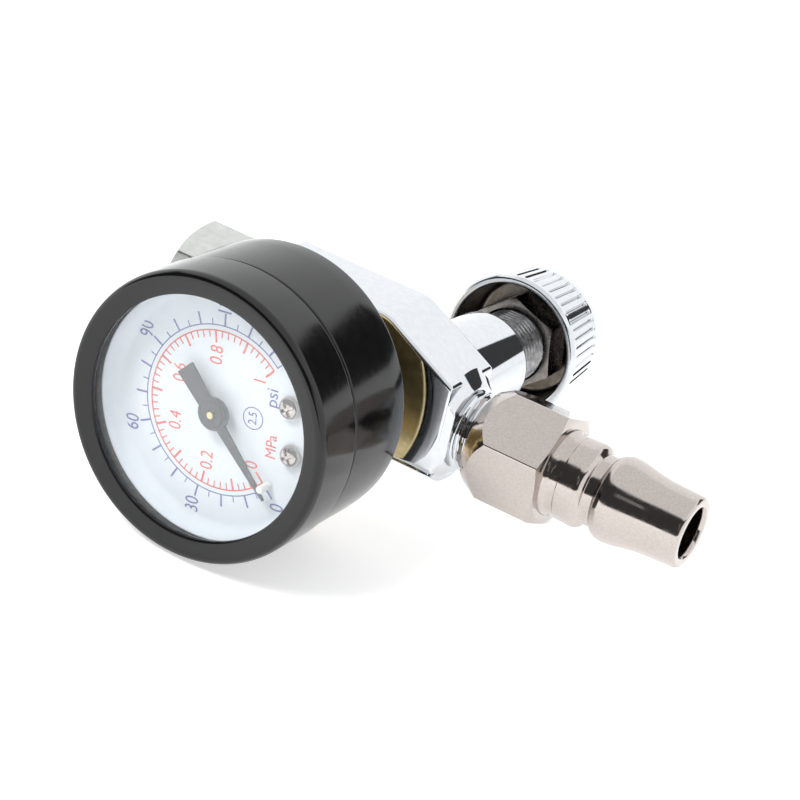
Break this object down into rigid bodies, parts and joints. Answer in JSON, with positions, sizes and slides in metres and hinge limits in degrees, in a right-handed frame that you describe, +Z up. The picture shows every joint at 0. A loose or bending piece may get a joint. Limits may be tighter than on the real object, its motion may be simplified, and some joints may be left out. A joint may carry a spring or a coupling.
{
  "type": "air pressure regulator",
  "caption": "Compact in-line air pressure regulator with a round back-mounted gauge, a splined adjusting knob, a swivel hexagon nut and a quick-connect plug.",
  "frame": {"origin": "centre of the swivel nut's mouth, on the nut's axis, where the gun's threaded end goes in", "axes": "+X along the flow axis towards the quick-connect plug, +Y from the gauge towards the knob, +Z up across the body"},
  "size_m": [0.0926, 0.0804, 0.045],
  "materials": {
    "chrome": "mirror-bright plating",
    "nickel": "warm nickel plating",
    "satin": "satin",
    "steel": "plain",
    "spring": "drawn wire",
    "brass": "machined",
    "rubber": "matt",
    "paint": "satin black",
    "clear": "clear",
    "dial_face": "printed white",
    "sleeve": "translucent white",
    "pointer_paint": "satin dark grey"
  },
  "bodies": {
    "housing": {"body": "chrome", "bonnet": "chrome", "bonnet_seal": "rubber", "valve_seat": "brass", "poppet_spring": "spring", "regulating_spring": "spring", "quick_plug": "nickel", "plug_seal": "rubber", "swivel_nipple": "brass", "nipple_seal": "rubber", "gauge_case": "paint", "gauge_bezel": "paint", "gauge_back_plate": "brass", "gauge_lens": "clear", "lens_gasket": "rubber", "dial": "dial_face", "dial_screw_1": "nickel", "dial_screw_2": "nickel", "stop_pin": "sleeve", "movement_front_plate": "brass", "movement_rear_plate": "brass", "movement_pillar_1": "brass", "movement_pillar_2": "brass", "hairspring": "brass", "bourdon_tube": "brass", "gauge_stem": "brass", "link": "steel"},
    "nut": {"swivel_nut": "satin"},
    "seat": {"spring_seat": "steel"},
    "knob": {"knob": "chrome", "knob_insert": "steel", "knob_pin": "steel"},
    "piston": {"piston": "brass", "piston_seal": "rubber"},
    "poppet": {"poppet": "brass"},
    "pointer": {"pointer": "pointer_paint", "pointer_arbor": "brass"},
    "sector": {"sector_gear": "brass"}
  },
  "joints": [
    {"name": "nut_spin", "type": "hinge", "parent": "housing", "child": "nut", "pos_m": [0, 0, 0], "axis": [1, 0, 0], "continuous": true},
    {"name": "seat_travel", "type": "slide", "parent": "housing", "child": "seat", "axis": [0, -1, 0], "range_m": [0, 0.0045], "deforming": ["regulating_spring"]},
    {"name": "knob_turn", "type": "hinge", "parent": "seat", "child": "knob", "pos_m": [0.0423, 0.04, -0.0041], "axis": [0, -1, 0], "range_deg": [0, 1620]},
    {"name": "piston_travel", "type": "slide", "parent": "housing", "child": "piston", "axis": [0, -1, 0], "range_m": [0, 0.0006]},
    {"name": "poppet_travel", "type": "slide", "parent": "housing", "child": "poppet", "axis": [0, -1, 0], "range_m": [0, 0.0006], "stiffness_N_per_m": 300, "deforming": ["poppet_spring"]},
    {"name": "pointer_turn", "type": "hinge", "parent": "housing", "child": "pointer", "pos_m": [0.02645, -0.03, -0.0043], "axis": [0, 1, 0], "range_deg": [0, 268], "stiffness_Nm_per_rad": 0.0002, "deforming": ["hairspring"]},
    {"name": "sector_turn", "type": "hinge", "parent": "housing", "child": "sector", "pos_m": [0.02645, -0.022, -0.01375], "axis": [0, 1, 0], "range_deg": [-44.7, 0]}
  ],
  "couplings": [
    {"joint": "seat_travel", "follows": "knob_turn", "m_per_rad": 0.00015915},
    {"joint": "poppet_travel", "follows": "piston_travel", "ratio": 1},
    {"joint": "sector_turn", "follows": "pointer_turn", "ratio": -0.16667}
  ]
}
